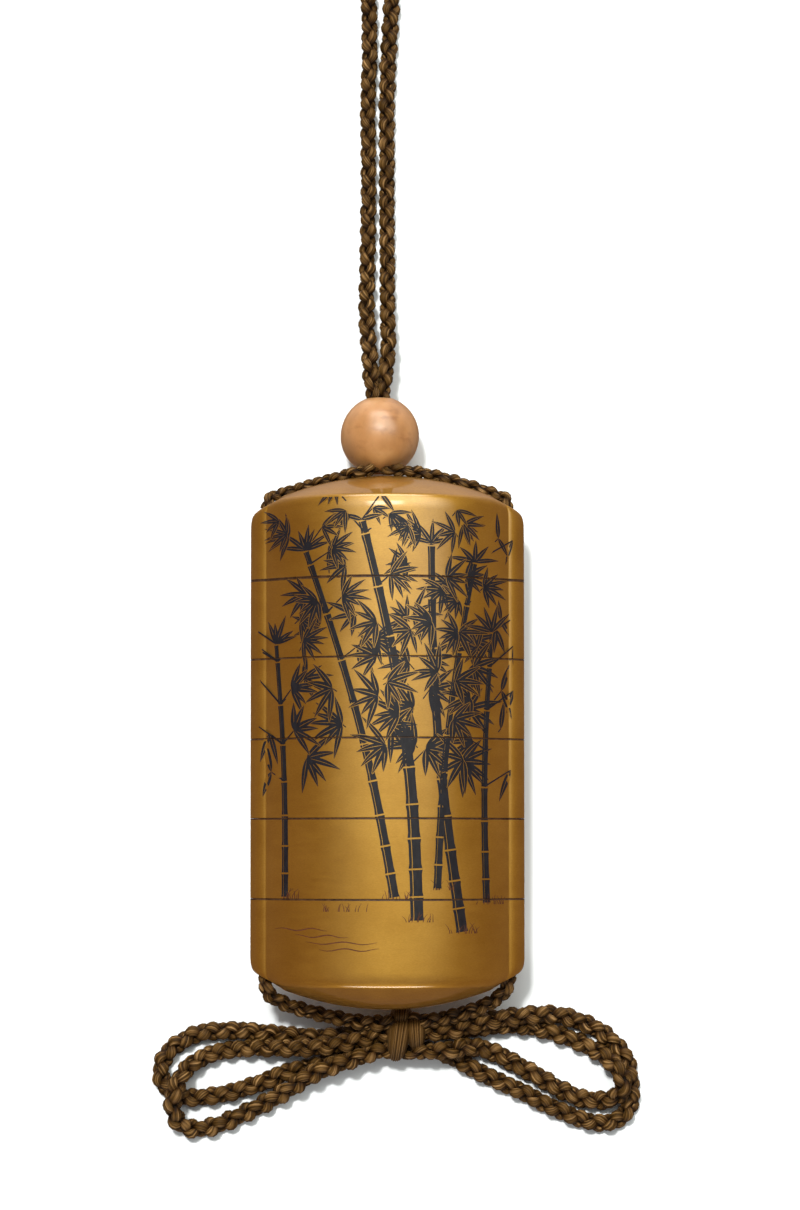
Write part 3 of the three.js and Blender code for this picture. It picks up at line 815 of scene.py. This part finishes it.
class Painting:
    """Painted shapes on the front of the case, in a few thin layers that take turns."""

    def __init__(self):
        self.shape = bmesh.new()
        self.layer = 0

    def next_layer(self):
        self.layer = (self.layer + 1) % PAINT["layers"]

    def stroke(self, ink, line, half_widths, low=-1, high=1, across=1):
        """A band along a line; low and high place its two edges, in shares of its half width."""
        lift = PAINT["lift"] + PAINT["layer"] * (self.layer + (0 if ink == GOLD else 0.5))
        rows = []
        for i, (x, y) in enumerate(line):
            (x0, y0), (x1, y1) = line[max(0, i - 1)], line[min(len(line) - 1, i + 1)]
            length = math.hypot(x1 - x0, y1 - y0)
            row = []
            for step in range(across + 1):
                out = half_widths[i] * (low + (high - low) * step / across)
                px, py = x - (y1 - y0) / length * out, y + (x1 - x0) / length * out
                row.append(self.shape.verts.new((px, py, AXIS_Z + half_depth(px) + lift)))
            rows.append(row)
        for before, after in zip(rows, rows[1:]):
            for i in range(across):
                face = self.shape.faces.new((before[i], after[i], after[i + 1], before[i + 1]))
                face.material_index = ink

    def leaf(self, x, y, angle, length, width):
        """A slender pointed leaf that bends down a little, ringed and split by fine lines of gold."""
        steps = LEAF["steps"]
        line = []
        halves = []
        for step in range(steps + 1):
            line.append((x, y))
            swell = math.sin(math.pi * (step / steps) ** LEAF["belly"]) ** LEAF["blunt"]
            halves.append(max(LEAF["least"], width / 2 * swell))
            bent = angle - LEAF["droop"] * math.cos(angle) * step / steps
            x += length / steps * math.cos(bent)
            y += length / steps * math.sin(bent)
        if PAINT["left"] < x < PAINT["right"] and y < PAINT["top"]:
            self.stroke(GOLD, line, [half + LEAF["ring"] for half in halves], across=2)
            self.stroke(INK, line, halves, LEAF["split"], 1)
            self.stroke(INK, line, halves, -1, -LEAF["split"])

    def pieces(self, name, bounds, materials):
        """One thin closed sheet for each stretch of the case, named after it."""
        for part, (low, high) in bounds.items():
            shape = self.shape.copy()
            cuts = (
                (0, high - PAINT["seam"], (0, 1, 0)), (0, low + PAINT["seam"], (0, -1, 0)),
                (PAINT["left"], 0, (-1, 0, 0)), (PAINT["right"], 0, (1, 0, 0)),
            )
            for x, y, way in cuts:
                bmesh.ops.bisect_plane(
                    shape, geom=shape.verts[:] + shape.edges[:] + shape.faces[:],
                    plane_co=(x, y, 0), plane_no=way, clear_outer=True,
                )
            if shape.faces:
                made = bmesh.ops.extrude_face_region(shape, geom=shape.faces[:], use_keep_orig=True)
                sunk = [v for v in made["geom"] if isinstance(v, bmesh.types.BMVert)]
                bmesh.ops.translate(shape, verts=sunk, vec=(0, 0, -PAINT["sunk"]))
                bmesh.ops.scale(shape, verts=shape.verts[:], vec=(MM, MM, MM))
                bmesh.ops.recalc_face_normals(shape, faces=shape.faces)
                mesh = bpy.data.meshes.new(name + "_on_" + part)
                shape.to_mesh(mesh)
                for material in materials:
                    mesh.materials.append(material)
                obj = add_object(mesh.name, mesh)
                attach(obj, "root")
            shape.free()
        self.shape.free()


def culm_point(culm, t):
    """A place on a stem: t is 0 at its foot and 1 at its top."""
    (x0, y0), (x1, y1) = culm["foot"], culm["top"]
    return x0 + (x1 - x0) * t + culm["bend"] * math.sin(math.pi * t), y0 + (y1 - y0) * t


def paint_spray(art, chance, x, y, heading, size):
    """A twig's end with its fan of leaves."""
    art.next_layer()
    count = chance.randint(*SPRAY["leaves"])
    for number in range(count):
        fan = heading + (number / (count - 1) - 0.5) * SPRAY["fan"]
        fan += chance.uniform(-SPRAY["stray"], SPRAY["stray"])
        length = LEAF["length"] * size * chance.uniform(*LEAF["longer"])
        art.leaf(x, y, fan, length, LEAF["width"] * size * chance.uniform(*LEAF["wider"]))


def paint_culm(art, chance, culm):
    """A jointed stem with a line of shine, and twigs from its upper joints, left and right in turn."""
    height = culm["top"][1] - culm["foot"][1]
    steps = JOINT["steps"]
    at = 0
    spacing = JOINT["first"]
    side = 1
    while at < height:
        end = min(height, at + spacing)
        inked = end - at - JOINT["gap"]
        line = [culm_point(culm, (at + inked * step / steps) / height) for step in range(steps + 1)]
        shrink = 1 - JOINT["thins"] * at / height
        half = culm["width"] / 2 * shrink
        halves = [half * (JOINT["flare"] if step in (0, steps) else 1) for step in range(steps + 1)]
        art.stroke(INK, line, halves, -1, SHINE["from"], across=4)
        art.stroke(INK, line, halves, SHINE["to"], 1, across=2)
        if end / height > TWIG["from"]:
            x, y = culm_point(culm, end / height)
            twigs = 2 if end / height < TWIG["threes"] else 3
            for turn in (side, -side, side)[:twigs]:
                heading = math.pi / 2 - turn * chance.uniform(*TWIG["turn"])
                reach = chance.uniform(*TWIG["reach"])
                tip = (x + reach * math.cos(heading), y + reach * math.sin(heading))
                art.stroke(INK, [(x, y), tip], TWIG["halves"])
                paint_spray(art, chance, *tip, heading - turn * chance.uniform(*SPRAY["droop"]), shrink)
            side = -side
        at = end
        spacing += JOINT["growth"]
    x, y = culm_point(culm, 1)
    paint_spray(art, chance, x, y, math.pi / 2, SPRAY["top"])


def paint_grass(art, chance, x, y, blades, reach):
    """A low tuft of fine blades."""
    for _ in range(blades):
        start = x + chance.uniform(-reach, reach)
        lean = chance.uniform(-GRASS["lean"], GRASS["lean"])
        tall = chance.uniform(*GRASS["tall"])
        line = [(start + lean * tall * t * t, y + tall * t) for t in (0, 0.33, 0.67, 1)]
        art.stroke(BROWN, line, GRASS["halves"])


def paint_ripples(art, chance, x, y, count):
    """A few long level lines, as water or mist is drawn."""
    shares = [step / RIPPLE["steps"] for step in range(RIPPLE["steps"] + 1)]
    halves = [RIPPLE["ends"] + RIPPLE["swell"] * math.sin(math.pi * share) for share in shares]
    for number in range(count):
        start = x + RIPPLE["over"] * number + chance.uniform(-RIPPLE["stray"], RIPPLE["stray"])
        long = chance.uniform(*RIPPLE["long"])
        level = y - RIPPLE["down"] * number
        line = []
        for step, share in enumerate(shares):
            wave = RIPPLE["wave"] * math.sin(step * RIPPLE["often"] + number)
            line.append((start + long * share, level + wave))
        art.stroke(BROWN, line, halves)


def make_painting(gold):
    """A bamboo grove over low grass and ripples, a common subject of lacquer decoration."""
    chance = random.Random(PAINT_SEED)
    art = Painting()
    for culm in CULMS:
        paint_culm(art, chance, culm)
        x, y = culm["foot"]
        paint_grass(art, chance, x + 0.4, y - 0.3, blades=12, reach=2.6)
    paint_grass(art, chance, -7, -29.5, blades=16, reach=4)
    paint_ripples(art, chance, -19, -32.6, count=4)
    edges = [RIM_Y] + SEAM_Y + [-RIM_Y]
    bounds = {name: (edges[i + 1], edges[i]) for i, name in enumerate(["lid"] + TRAY_NAMES)}
    inks = [
        ink_lacquer("ink_lacquer", dark=(0.003, 0.004, 0.007), pale=(0.009, 0.01, 0.014)), gold,
        ink_lacquer("brown_lacquer", dark=(0.05, 0.016, 0.006), pale=(0.1, 0.034, 0.013)),
    ]
    art.pieces("bamboo", bounds, inks)


# ---- bead and knot

BEAD_LOW, BEAD_HIGH = box_mm("ojime")
BEAD = {"around": 96, "up": 48, "bore": 2.3, "lip": 0.25, "lip_steps": 6}
BEAD_WEAR = ((0.004, 3, 0.4), (0.003, 2, -0.5))


def make_bead(material):
    """A round bead with flattened ends and a bore, worn a little out of round by handling."""
    centre = (BEAD_LOW + BEAD_HIGH) / 2
    radius = (BEAD_HIGH.x - BEAD_LOW.x) / 2
    half_height = (BEAD_HIGH.y - BEAD_LOW.y) / 2
    lip_angle = math.acos((BEAD["bore"] + BEAD["lip"]) / radius)
    around, lip_steps = BEAD["around"], BEAD["lip_steps"]
    profile = []
    for step in range(BEAD["up"] + 1):
        a = lip_angle * (2 * step / BEAD["up"] - 1)
        profile.append((radius * math.cos(a), half_height * math.sin(a) / math.sin(lip_angle)))
    for step in range(1, lip_steps + 1):
        a = math.pi / 2 * step / lip_steps
        profile.append((
            BEAD["bore"] + BEAD["lip"] * (1 - math.sin(a)),
            half_height - BEAD["lip"] * (1 - math.cos(a)),
        ))
    profile += [(r, -h) for r, h in reversed(profile[-lip_steps:])]
    vertices = []
    for r, h in profile:
        for i in range(around):
            a = 2 * math.pi * i / around
            wear = 1 + sum(deep * math.sin(turns * a + drift * h) for deep, turns, drift in BEAD_WEAR)
            out, up = r * wear * math.cos(a), r * wear * math.sin(a)
            vertices.append((centre.x + out, centre.y + h, centre.z + up))
    rings = ring_corners(len(profile), around, closed=True)
    faces = [(a, d, c, b) for _, _, a, b, c, d in rings]
    obj = new_object("ojime_bead", vertices, faces, [material])
    face_outwards(obj)
    return dressed(obj, "bead", "ojime")


LOBE = {"around": 72, "across": 40, "square": 2.6, "flare": 0.12, "grain": 0.05}
FURROWS = ((0.022, 31, 0), (0.01, 57, 1))


def add_lobe(vertices, faces, places, centre, half, tilt):
    """One turn of the knot's wrap: a rounded barrel of threads that run round the X axis."""
    around, across = LOBE["around"], LOBE["across"]
    first = len(vertices)
    for row in range(across + 1):
        b = -1 + 2 * row / across
        swell = max(0, 1 - abs(b) ** LOBE["square"]) ** 0.5
        swell *= 1 + sum(deep * math.cos(b * often + shift) for deep, often, shift in FURROWS)
        for i in range(around):
            a = 2 * math.pi * i / around
            y, z = half[1] * swell * math.cos(a), half[2] * swell * math.sin(a)
            x = half[0] * b * (1 + LOBE["flare"] * math.cos(a)) + tilt * y
            vertices.append((centre[0] + x, centre[1] + y, centre[2] + z))
    for row, i, *corners in ring_corners(across + 1, around, first):
        faces.append(corners)
        u0, u1 = (LOBE["grain"] * math.sin(math.tau * (i + more) / around * 2) for more in (0, 1))
        v0, v1 = row / across, (row + 1) / across
        places += [(u0, v0), (u1, v0), (u1, v1), (u0, v1)]


def make_knot(material):
    """The wrap in the middle of the bow: two turns side by side, and the end that goes up behind."""
    low, high = box_mm("bow_knot")
    centre = (low + high) / 2
    half = (high - low) / 2
    lobes = (
        {"at": (-1.3, -0.9, 0), "half": (2.1, half.y - 0.2, half.z), "tilt": 0.14},
        {"at": (1.7, 0.15, -0.2), "half": (1.9, half.y - 1.1, half.z - 0.2), "tilt": -0.05},
        {"at": (-0.9, 2.9, -0.5), "half": (1.8, 1.9, 3.3), "tilt": 0.1},
    )
    vertices, faces, places = [], [], []
    for lobe in lobes:
        middle = [c + offset for c, offset in zip(centre, lobe["at"])]
        add_lobe(vertices, faces, places, middle, lobe["half"], lobe["tilt"])
    obj = new_object("knot_of_bow", vertices, faces, [material], places=places)
    face_outwards(obj)
    return dressed(obj, "silk", "bow_knot")


# ---- stage, lights and camera

FLOOR_REACH = 3
ROOM = {
    "mirrored": (
        (0.0, 0.24, 0.13, 0.07), (0.15, 0.24, 0.11, 0.05), (0.3, 0.2, 0.08, 0.028),
        (0.6, 0.22, 0.09, 0.032), (0.85, 0.3, 0.2, 0.12),
    ),
    "far_side": (0.92, 0.72, 0.62, 1), "soft": (0.2, 0.205, 0.215, 1), "backdrop": (0.85, 0.87, 0.88, 1),
}
SUN = {"power": 3.4, "spread": math.radians(7), "colour": (1, 0.98, 0.95), "way": (0.18, -0.42, -1)}


def make_floor():
    """A plain pale floor. Gloss doesn't mirror it, because the domed ends would turn too pale."""
    mesh = bpy.data.meshes.new("floor")
    corners = [(x * FLOOR_REACH, y * FLOOR_REACH, 0) for x, y in ((-1, -1), (1, -1), (1, 1), (-1, 1))]
    mesh.from_pydata(corners, [], [(0, 1, 2, 3)])
    n = Nodes(bpy.data.materials.new("floor_paint"))
    n.set(SHADER, Base_Color=(0.76, 0.79, 0.81, 1), Roughness=0.9, Specular_IOR_Level=0.0)
    mesh.materials.append(n.owner)
    floor = add_object("floor", mesh)
    floor.visible_glossy = False


def soft_edges(light, falls):
    """Fades an area light towards its edges.

    falls gives the faded share at its left, right, lower and upper side.
    """
    n = Nodes(light)
    place = n.node("ShaderNodeNewGeometry").outputs["Parametric"]
    split = n.node("ShaderNodeSeparateXYZ", {"Vector": place}).outputs
    level = 1
    for axis, (start, end) in (("X", falls[:2]), ("Y", falls[2:])):
        for low, high in ((0, start), (1, 1 - end)):
            inputs = {"Value": split[axis], "From Min": low, "From Max": high}
            edge = n.node("ShaderNodeMapRange", inputs, interpolation_type="SMOOTHSTEP")
            level = n.product(level, edge.outputs["Result"])
    n.set("Emission", Strength=level)


def area_light(name, place, size, power, colour, aim=(0, 0, 0), falls=(0.3, 0.3, 0.3, 0.3)):
    """A softbox turned to face a point."""
    data = bpy.data.lights.new(name, "AREA")
    data.shape = "RECTANGLE"
    data.size, data.size_y = size
    data.energy = power
    data.color = colour
    soft_edges(data, falls)
    light = add_object(name, data)
    light.location = place
    light.rotation_euler = (Vector(aim) - Vector(place)).to_track_quat("-Z", "Y").to_euler()


def make_room():
    """A soft grey room. What the gloss mirrors of it is brown, and paler low down on its +Y side."""
    world = bpy.data.worlds.new("studio")
    bpy.context.scene.world = world
    n = Nodes(world)
    where = n.node("ShaderNodeTexCoord").outputs["Generated"]
    split = n.node("ShaderNodeSeparateXYZ", {"Vector": where}).outputs
    far = n.spread(split["Y"], 0, 1, start=0.35, end=0.9)
    low = n.spread(split["Z"], 0, 1, start=0.3, end=-0.05)
    mirrored = n.mix("MIX", n.product(far, low), n.ramp(split["Z"], *ROOM["mirrored"]), ROOM["far_side"])
    rays = n.node("ShaderNodeLightPath").outputs
    seen = n.mix("MIX", rays["Is Glossy Ray"], ROOM["soft"], mirrored)
    n.set("Background", Color=n.mix("MIX", rays["Is Camera Ray"], seen, ROOM["backdrop"]), Strength=1.0)


def make_lights():
    area_light(
        "overhead", place=(0.25, 0.75, 1.1), size=(2.6, 1.7), power=37, colour=(0.98, 1, 0.93),
        aim=(0.25, 0.75, 0), falls=(0.45, 0.42, 0.35, 0.3),
    )
    area_light(
        "upper", place=(-0.03, 0.38, 1.05), size=(0.55, 0.3), power=3, colour=(1, 0.99, 0.9),
        aim=(0, 0.05, 0),
    )
    area_light("beyond", place=(0, 1.35, 0.75), size=(1.7, 0.6), power=15, colour=(1, 0.97, 0.9))
    area_light("near", place=(0, -1.3, 0.65), size=(1.5, 0.45), power=13, colour=(1, 0.95, 0.88))
    key = bpy.data.lights.new("key", "SUN")
    key.energy = SUN["power"]
    key.angle = SUN["spread"]
    key.color = SUN["colour"]
    sun = add_object("key", key)
    sun.visible_glossy = False
    sun.rotation_euler = Vector(SUN["way"]).to_track_quat("-Z", "Y").to_euler()


CAMERA = {
    "height": 568, "y": -18.5, "tilt": 2.2, "lens": 94.52, "shift": (0.0104, 0.0997), "clip": (0.01, 20),
}


def make_camera():
    """Looks down on the case from well above its lower half."""
    data = bpy.data.cameras.new("camera")
    data.lens = CAMERA["lens"]
    data.shift_x, data.shift_y = CAMERA["shift"]
    data.clip_start, data.clip_end = CAMERA["clip"]
    camera = add_object("camera", data)
    camera.location = (0, CAMERA["y"] * MM, CAMERA["height"] * MM)
    camera.rotation_euler = (math.radians(CAMERA["tilt"]), 0, 0)
    bpy.context.scene.camera = camera


# ---- the whole object

def eased(value):
    """0 below 0 and 1 above 1, with a smooth step between."""
    share = min(1, max(0, value))
    return share * share * (3 - 2 * share)


def upper_size(point, along):
    """The cord is pulled thin over the crown and through the bead, and fills out on the strands."""
    rest = eased((point.y - STRAND_FROM["y"]) / STRAND_FROM["over"])
    return CROWN_SIZE + (STRAND_SIZE - CROWN_SIZE) * rest


def bow_size(point, along):
    """The cord is pulled thin between the case and the knot, and in the loops it fills out again."""
    slack = eased((along - LOOP_FROM["along"]) / LOOP_FROM["over"])
    slack *= eased((abs(point.x - PINCH["x"]) - PINCH["from"]) / PINCH["over"])
    return RUNNER_SIZE + (LOOP_SIZE - RUNNER_SIZE) * slack


def channel_size(point, along):
    return CHANNEL_SIZE


def make_cords(silk, bead, knot):
    """The three cords, and the two stretches of them inside the case."""
    upper, path, length = braid_object("cord_upper", UPPER_ROUTE, upper_size, silk)
    upper_nodes = [
        "cord_crown_left", "cord_in_bead", "cord_leg_left", "cord_bight", "cord_leg_right",
        "cord_crown_right",
    ]
    dressed(upper, "silk", *upper_nodes)
    bows = (
        ("left", BOW_LEFT_ROUTE, ["cord_runner_left", "bow_loop_upper_left", "bow_loop_lower_left"]),
        ("right", BOW_RIGHT_ROUTE, ["cord_runner_right", "bow_loop_outer_right", "bow_loop_inner_right"]),
    )
    for side, route, nodes in bows:
        bow, path, length = braid_object("cord_bow_" + side, route, bow_size, silk)
        dressed(bow, "silk", *nodes)
    for side, name in ((-1, "left"), (1, "right")):
        low, high = box_mm("cord_channel_" + name)
        ends = [(side * CHANNEL["x"], y, AXIS_Z) for y in (low.y, high.y)]
        inner, _, _ = braid_object("cord_in_channel_" + name, ends, channel_size, silk)
        dressed(inner, "silk", "cord_channel_" + name)


def make_case(gold):
    """The lid and the trays, bored for the cord."""
    # Dark brown lacquer on the seams' rounded edges: painted shade along the seams.
    seam = ink_lacquer("seam_shade_lacquer", dark=(0.02, 0.008, 0.003), pale=(0.07, 0.032, 0.01))
    materials = [gold, inner_lacquer(), seam]
    pieces = [(make_lid(materials), "lid")]
    for index, name in enumerate(TRAY_NAMES):
        pieces.append((make_tray(index, materials), name))
    for obj, node in pieces:
        face_outwards(obj)
        cut_channels(obj)
        obj.data.shade_smooth()
        obj.data.set_sharp_from_angle(angle=SHARP_ANGLE)
        obj.data.name = obj.name
        dressed(obj, "lacquer", node)


make_floor()
make_room()
make_lights()
make_camera()
gold = gold_lacquer()
make_case(gold)
make_painting(gold)
silk = silk_cord()
make_cords(silk, make_bead(bead_stone()), make_knot(silk))

bpy.context.scene.view_settings.view_transform = "Standard"
bpy.context.view_layer.update()
